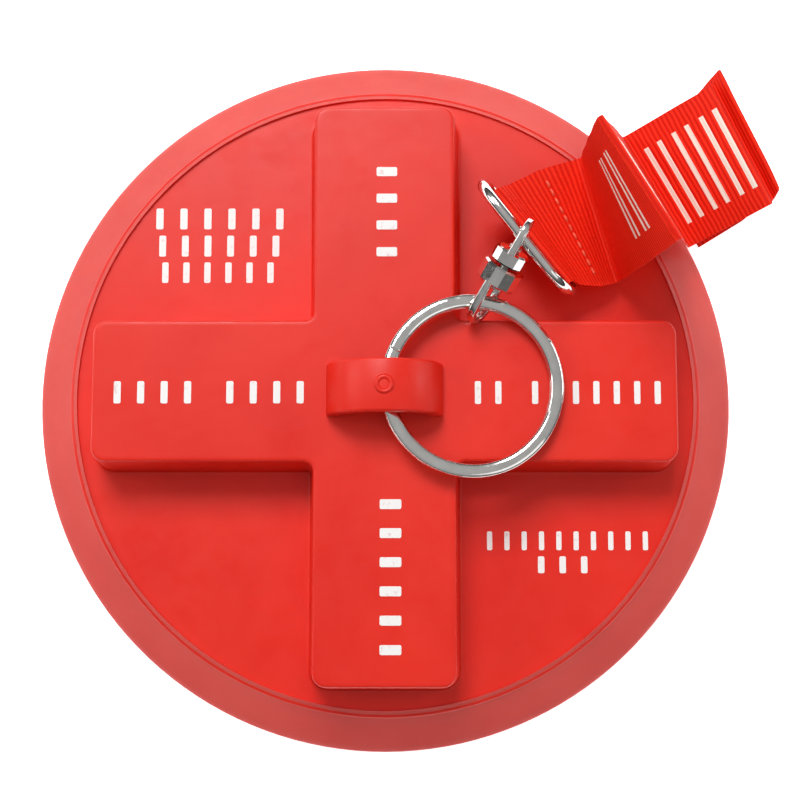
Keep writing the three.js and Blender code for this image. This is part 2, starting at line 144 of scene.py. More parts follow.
FIRST_VALLEY = crease(42.9, 35.5, 9.9, -73.5, 1.0)
FIRST_RIDGE = crease(45.0, 34.3, 48.0, -58.5, 0.42)
SECOND_VALLEY = crease(54.7, 41.9, 7.3, -60.5, 0.8)
SECOND_RIDGE = crease(69.8, 48.6, 18.4, -64, 1.0)
WAVE_VALLEY = crease(70.9, 50.0, 13.0, -64.5, 0.8)
OUTER_RIDGE = crease(72.7, 53.5, 19.6, -65, 0.5)
TAIL_VALLEY = crease(67.9, 49.3, 1.7, -64, 1.5)
TAIL_END = crease(58.1, 43.3, 1.9, -62, 0)


def place(x, y, z):
    """A point in millimetres above the sealing plane, as metres in the row frame."""
    return Vector((x, y, z - ROOF)) * MM


# ---- Mesh helpers ----


def build(name, points, faces, material, sharp=35):
    """A mesh object from points in sealing-plane millimetres."""
    mesh = bpy.data.meshes.new(name)
    mesh.from_pydata([place(*p) for p in points], [], faces)
    mesh.validate()
    return adopt(name, mesh, material, sharp)


def adopt(name, mesh, material, sharp=35):
    """An object of a mesh, with its normals outwards, smooth shading and its material."""
    bm = bmesh.new()
    bm.from_mesh(mesh)
    bmesh.ops.recalc_face_normals(bm, faces=bm.faces)
    bm.to_mesh(mesh)
    bm.free()
    mesh.shade_smooth()
    mesh.set_sharp_from_angle(angle=math.radians(sharp))
    mesh.materials.append(material)
    piece = bpy.data.objects.new(name, mesh)
    bpy.context.scene.collection.objects.link(piece)
    return piece


def skin(loops, closed=True, ends=True):
    """Points and faces that join loops of equal length; closed joins the last loop to the first."""
    count = len(loops[0])
    points = [tuple(p) for loop in loops for p in loop]
    faces = []
    rows = len(loops) if closed else len(loops) - 1
    for row in range(rows):
        below = row * count
        above = ((row + 1) % len(loops)) * count
        for i in range(count):
            j = (i + 1) % count
            faces.append((below + i, below + j, above + j, above + i))
    if ends and not closed:
        faces.append(tuple(range(count)))
        faces.append(tuple(range((len(loops) - 1) * count, len(loops) * count)))
    return points, faces


def turned(profile, steps=TURN_STEPS):
    """Loops of a closed profile of (radius, height) pairs turned round the Z axis."""
    loops = []
    for step in range(steps):
        angle = 2 * math.pi * step / steps
        loops.append([(r * math.cos(angle), r * math.sin(angle), z) for r, z in profile])
    return skin(loops)


def moved(points, matrix):
    """Points carried by a matrix."""
    return [tuple(matrix @ Vector(p)) for p in points]


def rounded_section(width, height, round_off, per_corner=4):
    """Outline of a rounded rectangle about the origin."""
    outline = []
    for corner in range(4):
        sx = (1, -1, -1, 1)[corner]
        sy = (1, 1, -1, -1)[corner]
        cx = sx * (width / 2 - round_off)
        cy = sy * (height / 2 - round_off)
        for i in range(per_corner):
            angle = math.pi / 2 * (corner + i / (per_corner - 1))
            outline.append((cx + round_off * math.cos(angle), cy + round_off * math.sin(angle)))
    return outline


# ---- Materials ----


def new_material(name):
    """A material with its nodes, its links and its shader."""
    material = bpy.data.materials.new(name)
    material.use_nodes = True
    nodes = material.node_tree.nodes
    return material, nodes, material.node_tree.links, nodes["Principled BSDF"]


def noise(nodes, links, scale, detail=4.0, roughness=0.55):
    """Cloudy noise fixed to the object."""
    where = nodes.new("ShaderNodeTexCoord")
    texture = nodes.new("ShaderNodeTexNoise")
    texture.inputs["Scale"].default_value = scale
    texture.inputs["Detail"].default_value = detail
    texture.inputs["Roughness"].default_value = roughness
    links.new(where.outputs["Object"], texture.inputs["Vector"])
    return texture.outputs["Fac"]


def ramp(nodes, links, factor, stops):
    """Colour between stops of (position, colour)."""
    node = nodes.new("ShaderNodeValToRGB")
    elements = node.color_ramp.elements
    elements[0].position, elements[0].color = stops[0][0], (*stops[0][1], 1)
    elements[1].position, elements[1].color = stops[-1][0], (*stops[-1][1], 1)
    for position, colour in stops[1:-1]:
        elements.new(position).color = (*colour, 1)
    links.new(factor, node.inputs["Fac"])
    return node.outputs["Color"]


def grey(value):
    return (value, value, value)


def bump(nodes, links, height, distance, strength=1.0, after=None):
    """Normal of a rough surface, laid over an earlier normal if there is one."""
    node = nodes.new("ShaderNodeBump")
    node.inputs["Distance"].default_value = distance
    node.inputs["Strength"].default_value = strength
    links.new(height, node.inputs["Height"])
    if after is not None:
        links.new(after, node.inputs["Normal"])
    return node.outputs["Normal"]


def vinyl(name, dark, light, roughness, subsurface):
    """Soft moulded vinyl: cloudy colour, uneven gloss, a fine leathery skin and a slow swell."""
    material, nodes, links, shader = new_material(name)
    cloud = noise(nodes, links, 38, 5)
    links.new(ramp(nodes, links, cloud, [(0.3, dark), (0.7, light)]), shader.inputs["Base Color"])
    gloss = noise(nodes, links, 160, 6, 0.7)
    low, high = roughness - 0.07, roughness + 0.1
    links.new(ramp(nodes, links, gloss, [(0.35, grey(low)), (0.7, grey(high))]), shader.inputs["Roughness"])
    grain = bump(nodes, links, noise(nodes, links, 2600, 3), 0.00003, 0.5)
    swell = bump(nodes, links, noise(nodes, links, 90, 2), 0.0003, 0.25, grain)
    links.new(swell, shader.inputs["Normal"])
    shader.inputs["Subsurface Weight"].default_value = subsurface
    shader.inputs["Subsurface Radius"].default_value = (0.004, 0.0008, 0.0005)
    shader.inputs["Subsurface Scale"].default_value = 0.5
    shader.inputs["Specular IOR Level"].default_value = 0.4
    return material


def plated(name, colour, roughness):
    """Bright plate with small changes of tint and gloss, and a faint ripple."""
    material, nodes, links, shader = new_material(name)
    tint = noise(nodes, links, 300, 3)
    dim = tuple(0.86 * c for c in colour)
    links.new(ramp(nodes, links, tint, [(0.3, dim), (0.7, colour)]), shader.inputs["Base Color"])
    gloss = noise(nodes, links, 700, 5, 0.7)
    stops = [(0.35, grey(roughness)), (0.75, grey(roughness + 0.14))]
    links.new(ramp(nodes, links, gloss, stops), shader.inputs["Roughness"])
    links.new(bump(nodes, links, noise(nodes, links, 900, 3), 0.00002, 0.5), shader.inputs["Normal"])
    shader.inputs["Metallic"].default_value = 1.0
    return material


def paint(name, colour):
    """Printed ink, a little thin in places."""
    material, nodes, links, shader = new_material(name)
    worn = noise(nodes, links, 900, 4)
    thin = (0.86 * colour[0], 0.68 * colour[1], 0.66 * colour[2])
    links.new(ramp(nodes, links, worn, [(0.25, thin), (0.42, colour)]), shader.inputs["Base Color"])
    shader.inputs["Roughness"].default_value = 0.45
    links.new(bump(nodes, links, noise(nodes, links, 2600, 3), 0.00002, 0.5), shader.inputs["Normal"])
    return material


def math_node(nodes, links, operation, first, second=None):
    """Result of a sum on two sockets or numbers."""
    node = nodes.new("ShaderNodeMath")
    node.operation = operation
    for socket, value in zip(node.inputs, (first, second)):
        if value is None:
            continue
        if isinstance(value, (int, float)):
            socket.default_value = value
        else:
            links.new(value, socket)
    return node.outputs[0]


def band(nodes, links, value, centre, half):
    """1 where value is within half of centre, else 0."""
    away = math_node(nodes, links, "ABSOLUTE", math_node(nodes, links, "SUBTRACT", value, centre))
    return math_node(nodes, links, "LESS_THAN", away, half)


def grosgrain(name, marks):
    """Ribbed woven ribbon, with painted shade: its colour darkens into the groove between each pair of ribs.

    Its marks are printed bars: (across, along, half width, half length) in millimetres.
    """
    material, nodes, links, shader = new_material(name)
    uv = nodes.new("ShaderNodeUVMap")
    uv.uv_map = "UVMap"
    split = nodes.new("ShaderNodeSeparateXYZ")
    links.new(uv.outputs["UV"], split.inputs[0])
    across = math_node(nodes, links, "MULTIPLY", split.outputs["X"], UV_UNIT)
    along = math_node(nodes, links, "MULTIPLY", split.outputs["Y"], UV_UNIT)
    wobble = math_node(nodes, links, "MULTIPLY", noise(nodes, links, 260, 2), 0.5)
    place_along = math_node(nodes, links, "ADD", along, wobble)
    phase = math_node(nodes, links, "MULTIPLY", place_along, 2 * math.pi / RIB_PITCH)
    rib = math_node(nodes, links, "SINE", phase)
    rib01 = math_node(nodes, links, "MULTIPLY_ADD", rib, 0.5)
    rib01.node.inputs[2].default_value = 0.5
    warp = math_node(nodes, links, "MULTIPLY", across, 2 * math.pi / WARP_PITCH)
    thread = math_node(nodes, links, "SINE", warp)
    # painted shade: the colour runs from dark in each groove to light on each rib's crest
    painted_groove_shade = [(0.0, (0.70, 0.011, 0.003)), (0.45, (0.84, 0.018, 0.005)), (1.0, (0.93, 0.035, 0.012))]
    colour = ramp(nodes, links, rib01, painted_groove_shade)
    for mark in marks:
        colour = printed_bar(nodes, links, colour, (across, along), mark)
    links.new(colour, shader.inputs["Base Color"])
    ribbed = bump(nodes, links, rib01, 0.0001, 0.6)
    links.new(bump(nodes, links, thread, 0.00002, 0.6, ribbed), shader.inputs["Normal"])
    shader.inputs["Roughness"].default_value = 0.6
    shader.inputs["Specular IOR Level"].default_value = 0.12
    return material


def printed_bar(nodes, links, colour, place_on_cloth, mark):
    """Lays one bar of cream ink over a colour."""
    across, along = place_on_cloth
    u = band(nodes, links, across, mark[0], mark[2])
    v = band(nodes, links, along, mark[1], mark[3])
    mix = nodes.new("ShaderNodeMix")
    mix.data_type = "RGBA"
    links.new(math_node(nodes, links, "MULTIPLY", u, v), mix.inputs[0])
    links.new(colour, mix.inputs[6])
    mix.inputs[7].default_value = CREAM_INK
    return mix.outputs[2]


def thread_material(name):
    """Twisted polyester thread."""
    material, nodes, links, shader = new_material(name)
    twist = noise(nodes, links, 1500, 3)
    stops = [(0.3, (0.72, 0.05, 0.02)), (0.7, (0.98, 0.16, 0.08))]
    links.new(ramp(nodes, links, twist, stops), shader.inputs["Base Color"])
    links.new(bump(nodes, links, twist, 0.00005), shader.inputs["Normal"])
    shader.inputs["Roughness"].default_value = 0.6
    return material


# ---- Cover ----


def cross_outline(grow, height, steps=6):
    """Plus-shaped loop with rounded corners, grown outwards by grow."""
    corner = CROSS_CORNER + grow
    notch = max(CROSS_NOTCH - grow, 0.3)
    length = CROSS_LENGTH + grow
    width = CROSS_WIDTH + grow
    loop = []
    for arm in range(4):
        turn = Matrix.Rotation(arm * math.pi / 2, 2)
        corners = (
            (length - corner, corner - width, corner, -90, 0),
            (length - corner, width - corner, corner, 0, 90),
            (width + notch, width + notch, notch, 270, 180),
        )
        for cx, cy, radius, start, end in corners:
            for i in range(steps + 1):
                angle = math.radians(start + (end - start) * i / steps)
                point = turn @ Vector((cx + radius * math.cos(angle), cy + radius * math.sin(angle)))
                loop.append((point.x, point.y, height))
    return with_side_points(loop, steps)


def with_side_points(loop, steps, extra=12):
    """Adds points along each straight side of the plus, from the end of one arc to the start of the next."""
    full = []
    for i, point in enumerate(loop):
        full.append(point)
        if i % (steps + 1) == steps:
            after = loop[(i + 1) % len(loop)]
            for j in range(1, extra):
                share = j / extra
                full.append(tuple(a + (b - a) * share for a, b in zip(point, after)))
    return full


def circle_facing(loop, radius, height):
    """Circle with a point in the direction of each point of a loop."""
    points = []
    for x, y, _ in loop:
        away = math.hypot(x, y)
        points.append((radius * x / away, radius * y / away, height))
    return points


def cross_walls():
    """Loops of the outside of the cross, from the fillet at its foot to the rounded edge of its top."""
    foot = WALL_FOOT_FILLET
    rise = CROSS_TOP - PLATE_TOP
    loops = [(CROSS_DRAFT + foot + FLAT_BORDER, PLATE_TOP)]
    for i in range(4):
        angle = math.pi / 2 * i / 3
        grow = CROSS_DRAFT + foot * (1 - math.sin(angle))
        loops.append((grow, PLATE_TOP + foot * (1 - math.cos(angle))))
    loops.append((CROSS_DRAFT * 0.5, PLATE_TOP + rise * 0.5))
    for i in range(5):
        angle = math.pi / 2 * i / 4
        grow = 0.08 - EDGE_ROUND * (1 - math.cos(angle))
        loops.append((grow, CROSS_TOP - EDGE_ROUND * (1 - math.sin(angle))))
    loops.append((-EDGE_ROUND - FLAT_BORDER, CROSS_TOP))
    return [cross_outline(grow, height) for grow, height in loops]


def cap_mesh():
    """The moulding as one closed skin: roof of the hollow, underside, plate edge, plate, walls, top."""
    walls = cross_walls()
    foot = walls[0]
    edge_round = PLATE_EDGE_ROUND
    loops = [cross_outline(-CROSS_WALL, ROOF), cross_outline(-CROSS_WALL, PLATE_UNDER)]
    loops.append(circle_facing(foot, PLATE_RADIUS, PLATE_UNDER))
    for i in range(4):
        angle = math.pi / 2 * i / 3
        radius = PLATE_RADIUS - edge_round * (1 - math.cos(angle))
        loops.append(circle_facing(foot, radius, PLATE_TOP - edge_round * (1 - math.sin(angle))))
    loops.append(circle_facing(foot, PLATE_RADIUS - edge_round - FLAT_BORDER, PLATE_TOP))
    loops += walls
    points, faces = skin(loops, closed=False, ends=False)
    count = len(foot)
    last = len(points) - count
    roof_middle, top_middle = len(points), len(points) + 1
    points += [(0, 0, ROOF), (0, 0, CROSS_TOP)]
    for i in range(count):
        j = (i + 1) % count
        faces.append((i, roof_middle, j))
        faces.append((last + i, last + j, top_middle))
    mesh = bpy.data.meshes.new("cover_moulding")
    mesh.from_pydata([place(*p) for p in points], [], faces)
    return mesh


def lip_profile():
    """Section of the flared lip, from the plate's edge out to the rim and back underneath."""
    inner = PLATE_RADIUS - 1.6
    outer = []
    for radius in (inner, PLATE_RADIUS + 0.5, 65.0, 67.0, 68.8):
        dip = 0.12 * math.sin(math.pi * (radius - inner) / (RIM_RADIUS - inner))
        outer.append((radius, RIM_EDGE + (RIM_RADIUS - radius) * LIP_SLOPE - dip))
    edge = [(69.6, 1.15), (RIM_RADIUS, 0.85), (RIM_RADIUS, 0.35), (69.55, 0.0), (68.4, 0.0), (67.45, 0.0)]
    under = [(67.2, 0.7)]
    for radius in (66.8, inner):
        under.append((radius, lip_height(radius) - LIP_THICKNESS))
    return outer + edge + under


def lip_height(radius):
    """Height of the lip's straight outer slope."""
    return RIM_EDGE + (RIM_RADIUS - radius) * LIP_SLOPE


def make_cover(red, pale):
    """The stiff moulding, and its lip between rim and cover."""
    cap = adopt("cover_moulding", cap_mesh(), red, 40)
    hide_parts("cap_moulding")
    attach(cap, "cover")
    points, faces = turned(lip_profile())
    lip = build("sealing_lip", points, faces, pale, 40)
    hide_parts("seal_rim", "flex_skirt")
    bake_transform(lip)


def strap_loops():
    """Sections of the strap along its arch, with its two feet sunk into the cross."""
    loops = []
    steps = STRAP_STEPS
    section = rounded_section(STRAP_THICKNESS, STRAP_WIDTH, 0.5)
    span = STRAP_SPAN - STRAP_THICKNESS / 2
    rise = STRAP_RISE - STRAP_THICKNESS / 2
    for step in range(-STRAP_FOOT_STEPS, steps + STRAP_FOOT_STEPS + 1):
        angle = math.pi * min(max(step, 0), steps) / steps
        drop = STRAP_FOOT_DROP * max(-step, step - steps, 0)
        middle = Vector((span * math.cos(angle), 0, CROSS_TOP + rise * math.sin(angle) - drop))
        normal = Vector((math.cos(angle) / span, 0, math.sin(angle) / rise)).normalized()
        loops.append([tuple(middle + normal * a + Vector((0, b, 0))) for a, b in section])
    return loops


def gate_profile():
    """Section of the dimple and the raised ring round it, about the top of the strap."""
    crown = CROSS_TOP + STRAP_RISE
    middle = 0.05
    ring = [(0.6, -0.3), (0.9, 0.12), (1.15, 0.3), (1.45, 0.28), (1.7, 0.0), (1.6, -0.8)]
    profile = [(middle, -0.5)]
    profile += [(GATE_RADIUS * share, height) for share, height in ring]
    profile.append((middle, -0.8))
    return [(radius, height + crown) for radius, height in profile]


def make_strap(red):
    """Arched strap with a moulding-gate mark on its crown."""
    points, faces = skin(strap_loops(), closed=False)
    strap = build("ring_strap", points, faces, red, 50)
    points, faces = turned(gate_profile(), 32)
    gate = build("gate_mark", points, faces, red, 60)
    for piece in (strap, gate):
        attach(piece, "cover")


def bar_mark(x0, y0, x1, y1, z):
    """Thin printed bar with rounded corners: points and faces."""
    section = rounded_section(x1 - x0, y1 - y0, 0.28, 3)
    cx, cy = (x0 + x1) / 2, (y0 + y1) / 2
    low = [(cx + a, cy + b, z - 0.03) for a, b in section]
    high = [(cx + a, cy + b, z + 0.05) for a, b in section]
    return skin([low, high], closed=False)


def row_marks(x0, x1, y0, y1, z, groups, fill=0.3):
    """Upright bars at an even pitch between x0 and x1, in groups with a gap between them."""
    gap = 0.8
    slots = sum(groups) + gap * (len(groups) - 1)
    pitch = (x1 - x0) / slots
    at = x0
    marks = []
    for group in groups:
        for _ in range(group):
            centre = at + pitch / 2
            marks.append(bar_mark(centre - pitch * fill / 2, y0, centre + pitch * fill / 2, y1, z))
            at += pitch
        at += gap * pitch
    return marks


def column_marks(x0, x1, y0, y1, z, count, fill=0.34):
    """Level bars at an even pitch between y0 and y1."""
    pitch = (y1 - y0) / count
    marks = []
    for i in range(count):
        centre = y0 + pitch * (i + 0.5)
        marks.append(bar_mark(x0, centre - pitch * fill / 2, x1, centre + pitch * fill / 2, z))
    return marks


def make_marks(ink):
    """Plain bars where the real cover carries printing."""
    marks = row_marks(-48.0, -18.9, 34.3, 38.6, PLATE_TOP, [6])
    marks += row_marks(-47.2, -19.8, 28.7, 33.0, PLATE_TOP, [6])
    marks += row_marks(-46.4, -21.0, 23.3, 27.5, PLATE_TOP, [6])
    marks += row_marks(-53.4, -13.9, -2.5, 1.8, CROSS_TOP, [4, 4])
    marks += row_marks(15.9, 54.2, -2.6, 1.8, CROSS_TOP, [2, 7])
    marks += column_marks(-1.6, 2.4, 24.4, 45.6, CROSS_TOP, 4)
    marks += column_marks(-0.9, 3.2, -51.8, -19.0, CROSS_TOP, 6)
    marks += row_marks(18.9, 53.0, -30.2, -26.5, PLATE_TOP, [10])
    marks += row_marks(28.6, 41.3, -34.7, -31.4, PLATE_TOP, [3])
    points, faces = [], []
    for mark_points, mark_faces in marks:
        base = len(points)
        points += mark_points
        faces += [tuple(i + base for i in face) for face in mark_faces]
    printed = build("printed_bars", points, faces, ink, 40)
    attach(printed, "cover")


# ---- Hardware ----


def wire_section(width, height, steps=20):
    """Outline of a flattened round wire."""
    outline = []
    for i in range(steps):
        angle = 2 * math.pi * i / steps
        c, s = math.cos(angle), math.sin(angle)
        x = width / 2 * math.copysign(abs(c) ** 0.8, c)
        y = height / 2 * math.copysign(abs(s) ** 0.9, s)
        outline.append((x, y))
    return outline


def ring_level(turns):
    """Height of the wire off the middle of the ring: it steps from one coil to the other half way."""
    middle = RING_TURNS / 2
    x = min(max((turns - middle + 0.1) / 0.2, 0), 1)
    return (x * x * (3 - 2 * x) - 0.5) * RING_PITCH


def make_ring(metal):
    """Split ring: one flattened wire wound twice round."""
    steps = 260
    section = wire_section(RING_WIRE_WIDTH, RING_WIRE_HEIGHT)
    tilt = Matrix.Translation(RING_HINGE) @ Matrix.Rotation(RING_TILT, 4, "Y")
    loops = []
    for step in range(steps + 1):
        turns = RING_TURNS * step / steps
        angle = 2 * math.pi * turns + math.pi
        out = Vector((math.cos(angle), math.sin(angle), 0))
        centre = Vector((RING_RADIUS, 0, ring_level(turns)))
        loop = [centre + out * (RING_RADIUS + a) + Vector((0, 0, b)) for a, b in section]
        loops.append([tuple(tilt @ p) for p in loop])
    points, faces = skin(loops, closed=False)
    ring = build("key_ring", points, faces, metal, 50)
    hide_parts("split_ring")
    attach(ring, "key_ring")


def swivel_frame(distance, roll):
    """Frame on the swivel's axis, turned about it by roll."""
    side = Vector((0, 0, 1)).cross(SWIVEL_AXIS).normalized()
    up = SWIVEL_AXIS.cross(side)
    basis = Matrix((side, up, SWIVEL_AXIS)).transposed().to_4x4() @ Matrix.Rotation(roll, 4, "Z")
    return Matrix.Translation(SWIVEL_END + SWIVEL_AXIS * distance) @ basis


def eye_loop(size):
    """Strip bent into a U, from the barrel round the eye and back."""
    half = (size["width"] - EYE_STRIP) / 2
    turn = -(size["length"] - size["width"] / 2)
    path = [Vector((half, 0, 0.5)), Vector((half, 0, turn / 2))]
    for i in range(13):
        angle = -math.pi * i / 12
        path.append(Vector((half * math.cos(angle), 0, turn + half * math.sin(angle))))
    path += [Vector((-half, 0, turn / 2)), Vector((-half, 0, 0.5))]
    loops = []
    for i, point in enumerate(path):
        ahead = (path[min(i + 1, len(path) - 1)] - path[max(i - 1, 0)]).normalized()
        out = Vector((-ahead.z, 0, ahead.x))
        section = rounded_section(EYE_STRIP, EYE_STRIP * 1.15, 0.35, 4)
        loops.append([tuple(point + out * a + Vector((0, b, 0))) for a, b in section])
    return skin(loops, closed=False)


def barrel(size):
    """Faceted boss with broken edges and a hole for the rivet."""
    radius = size["diameter"] / 2
    height = size["barrel"]
    inset, chamfer = 0.4, 0.35
    low = [(RIVET_HOLE, 0), (radius - inset, 0), (radius, chamfer)]
    high = [(radius, height - chamfer), (radius - inset, height), (RIVET_HOLE, height)]
    return turned(low + high, BARREL_SIDES)


def make_eye(name, size, matrix, metal, node, body):
    """One half of the swivel: a bent strip on its barrel."""
    points, faces = eye_loop(size)
    eye = build(name, moved(points, matrix), faces, metal, 50)
    points, faces = barrel(size)
    boss = build(name + "_barrel", moved(points, matrix), faces, metal, 20)
    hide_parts(node)
    for piece in (eye, boss):
        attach(piece, body)


def rivet_profile(reach):
    """Section of the rivet: a shank through both barrels and a domed head at each end."""
    shank, head = RIVET_SHANK, RIVET_HEAD
    low = [(0.02, -1.1), (shank, -1.1), (head, -0.8), (head, -0.35), (shank, -0.3)]
    high = [(shank, 0.3), (head, 0.35), (head, 0.8), (shank, 1.1), (0.02, 1.1)]
    return low + [(radius, reach + height) for radius, height in high]


def make_swivel(metal, steel):
    """Two eyes with their barrels facing each other on one rivet."""
    lower = swivel_frame(LOWER_EYE["length"], LOWER_ROLL)
    make_eye("lower_eye", LOWER_EYE, lower, metal, "swivel_lower_eye", "swivel_base")
    reach = LOWER_EYE["barrel"] + BARREL_GAP + UPPER_EYE["barrel"]
    flip = Matrix.Rotation(math.pi, 4, "X")
    upper = swivel_frame(LOWER_EYE["length"] + reach, UPPER_ROLL) @ flip
    make_eye("upper_eye", UPPER_EYE, upper, metal, "swivel_upper_eye", "swivel_head")
    points, faces = turned(rivet_profile(reach), 24)
    rivet = build("swivel_pin", moved(points, swivel_frame(LOWER_EYE["length"], 0)), faces, steel, 40)
    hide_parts("swivel_rivet")
    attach(rivet, "swivel_base")


def d_path(height):
    """Middle line of the D-ring as (along the bar, off the bar, outward angle)."""
    half = (D_WIDTH - D_WIRE) / 2
    corners = (
        (half - D_BOTTOM_CORNER, D_BOTTOM_CORNER, D_BOTTOM_CORNER, -90),
        (half - D_TOP_CORNER, height - D_TOP_CORNER, D_TOP_CORNER, 0),
        (D_TOP_CORNER - half, height - D_TOP_CORNER, D_TOP_CORNER, 90),
        (D_BOTTOM_CORNER - half, D_BOTTOM_CORNER, D_BOTTOM_CORNER, 180),
    )
    path = []
    for cx, cy, radius, start in corners:
        steps = 10
        for i in range(steps + 1):
            angle = math.radians(start + 90 / steps * i)
            path.append((cx + radius * math.cos(angle), cy + radius * math.sin(angle), angle))
    return path


def make_d_ring(metal):
    """Wire ring with a straight bar, which the ribbon loops round, and rounded upper corners."""
    sides = 16
    rise = D_TOP - D_BOTTOM
    up = (rise - BAR * rise.dot(BAR)).normalized()
    out = BAR.cross(up)
    radius = D_WIRE / 2
    loops = []
    for x, y, angle in d_path(rise.length):
        centre = D_BOTTOM + BAR * x + up * y
        outward = BAR * math.cos(angle) + up * math.sin(angle)
        loop = []
        for i in range(sides):
            turn = 2 * math.pi * i / sides
            loop.append(tuple(centre + outward * radius * math.cos(turn) + out * radius * math.sin(turn)))
        loops.append(loop)
    points, faces = skin(loops)
    ring = build("wire_d_ring", points, faces, metal, 60)
    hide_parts("d_ring")
    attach(ring, "d_ring")


# ---- Ribbon ----


def tab_length():
    """Distance from the D-ring's bar to the first valley."""
    return (FIRST_VALLEY["middle"] - D_BOTTOM).length


def tab_station(along, lift):
    """Station on the doubled tab: along is measured from the bar, lift from between the two layers."""
    length = tab_length()
    share = max(along, 0) / length
    ahead = FIRST_VALLEY["middle"] - D_BOTTOM
    across = BAR.lerp(FIRST_VALLEY["across"], min(share, 1)).normalized()
    square = (ahead - BAR * ahead.dot(BAR)).normalized()
    normal = across.cross(square).normalized()
    width = TAB_PINCH + (RIBBON_WIDTH - TAB_PINCH) * min(share / STITCH_AT, 1)
    middle = D_BOTTOM + ahead * share + square * min(along, 0) + normal * lift
    return {"middle": middle, "across": across, "width": width}


def tab_stations():
    """From the cut end under the tab, round the bar, and back out on top."""
    stations = []
    under_steps, loop_steps, over_steps = 6, 14, 5
    for i in range(under_steps + 1):
        along = TAB_RETURN + (TAB_CLEAR - TAB_RETURN) * i / under_steps
        stations.append(tab_station(along, -TAB_LIFT))
    for i in range(loop_steps + 1):
        angle = math.radians(-LOOP_OPENING - (360 - 2 * LOOP_OPENING) * i / loop_steps)
        stations.append(tab_station(TAB_LOOP * math.cos(angle), TAB_LOOP * math.sin(angle)))
    far = tab_length() * 0.6
    for i in range(over_steps + 1):
        stations.append(tab_station(TAB_CLEAR + (far - TAB_CLEAR) * i / over_steps, TAB_LIFT))
    return stations


def fillet(before, at, after):
    """Stations round a crease, bent to its radius."""
    back = (before - at["middle"]).normalized()
    ahead = (after - at["middle"]).normalized()
    half = back.angle(ahead) / 2
    radius = at["radius"]
    reach = radius / math.tan(half)
    centre = at["middle"] + (back + ahead).normalized() * (radius / math.sin(half))
    first = at["middle"] + back * reach - centre
    last = at["middle"] + ahead * reach - centre
    sweep = first.angle(last)
    steps = max(4, round(math.degrees(sweep) / 14))
    stations = []
    for i in range(steps + 1):
        share = i / steps
        arm = (first * math.sin((1 - share) * sweep) + last * math.sin(share * sweep)) / math.sin(sweep)
        stations.append({"middle": centre + arm, "across": at["across"], "width": RIBBON_WIDTH})
    return stations


def between(first, last, steps=6):
    """Stations on the flat stretch between two folds."""
    stations = []
    for i in range(1, steps):
        share = i / steps
        across = first["across"].lerp(last["across"], share).normalized()
        middle = first["middle"].lerp(last["middle"], share)
        stations.append({"middle": middle, "across": across, "width": RIBBON_WIDTH})
    return stations


def ribbon_path():
    """All stations from the cut end under the tab to the far end, with the place of each fold."""
    lift = Vector((0, 0, TAB_LIFT))
    creases = [dict(FIRST_VALLEY), FIRST_RIDGE, SECOND_VALLEY]
    creases += [SECOND_RIDGE, WAVE_VALLEY, OUTER_RIDGE, TAIL_VALLEY]
    creases[0]["middle"] = FIRST_VALLEY["middle"] + lift
    path = tab_stations()
    folds = []
    cuts = [len(path) - 1]
    for i, at in enumerate(creases):
        before = path[-1]["middle"] if i == 0 else creases[i - 1]["middle"]
        after = creases[i + 1]["middle"] if i + 1 < len(creases) else TAIL_END["middle"]
        bend = fillet(before, at, after)
        path += between(path[-1], bend[0])
        if i in (1, 2, 5):
            cuts.append(len(path) - 3)
        path += bend
        folds.append((before, at["middle"], after))
    end = {"middle": TAIL_END["middle"], "across": TAIL_END["across"], "width": RIBBON_WIDTH}
    path += between(path[-1], end) + [end]
    return path, cuts, folds


def run_lengths(path):
    """Length of ribbon up to each station."""
    runs = [0.0]
    for first, last in zip(path, path[1:]):
        runs.append(runs[-1] + (last["middle"] - first["middle"]).length)
    return runs


def station_normals(path):
    """Direction square to the cloth at each station."""
    normals = []
    for i, station in enumerate(path):
        ahead = path[min(i + 1, len(path) - 1)]["middle"] - path[max(i - 1, 0)]["middle"]
        normals.append(ahead.cross(station["across"]).normalized())
    return normals


def cloth_offset(share, run, face_side):
    """Height of one face off the middle of the cloth: thinner and a little wavy at the selvedges."""
    out = abs(share) * 2
    selvedge = 1 - 0.35 * out ** 8
    wave = 0.09 * math.sin(run * 1.7 + 9 * share) * out
    return face_side * RIBBON_THICKNESS / 2 * selvedge + wave


def ribbon_piece(name, path, normals, runs, start, end, cloth):
    """One stretch of the ribbon as a thin closed sheet with a UV map of the flat cloth."""
    front, back = cloth
    sides = SHEET_SIDES
    bm = bmesh.new()
    uv_layer = bm.loops.layers.uv.new("UVMap")
    sheets = []
    flat = {}
    for face_side in (-1, 1):
        rows = []
        for i in range(start, end + 1):
            station = path[i]
            row = []
            for j in range(sides + 1):
                share = j / sides - 0.5
                offset = cloth_offset(share, runs[i], face_side)
                aside = station["across"] * share * station["width"]
                vert = bm.verts.new(place(*(station["middle"] + aside + normals[i] * offset)))
                flat[vert] = ((share + 0.5) * station["width"] / UV_UNIT, runs[i] / UV_UNIT)
                row.append(vert)
            rows.append(row)
        sheets.append(rows)
    faces = []
    for slot, rows in enumerate(sheets):
        for lower, upper in zip(rows, rows[1:]):
            for j in range(sides):
                face = bm.faces.new((lower[j], lower[j + 1], upper[j + 1], upper[j]))
                face.material_index = slot
                faces.append(face)
    top, bottom = sheets
    for i in range(len(top) - 1):
        for j in (0, sides):
            faces.append(bm.faces.new((top[i][j], top[i + 1][j], bottom[i + 1][j], bottom[i][j])))
    for i in (0, len(top) - 1):
        for j in range(sides):
            faces.append(bm.faces.new((top[i][j], top[i][j + 1], bottom[i][j + 1], bottom[i][j])))
    for face in faces:
        for loop in face.loops:
            loop[uv_layer].uv = flat[loop.vert]
    mesh = bpy.data.meshes.new(name)
    bm.to_mesh(mesh)
    bm.free()
    piece = adopt(name, mesh, front, 75)
    mesh.materials.append(back)
    return piece


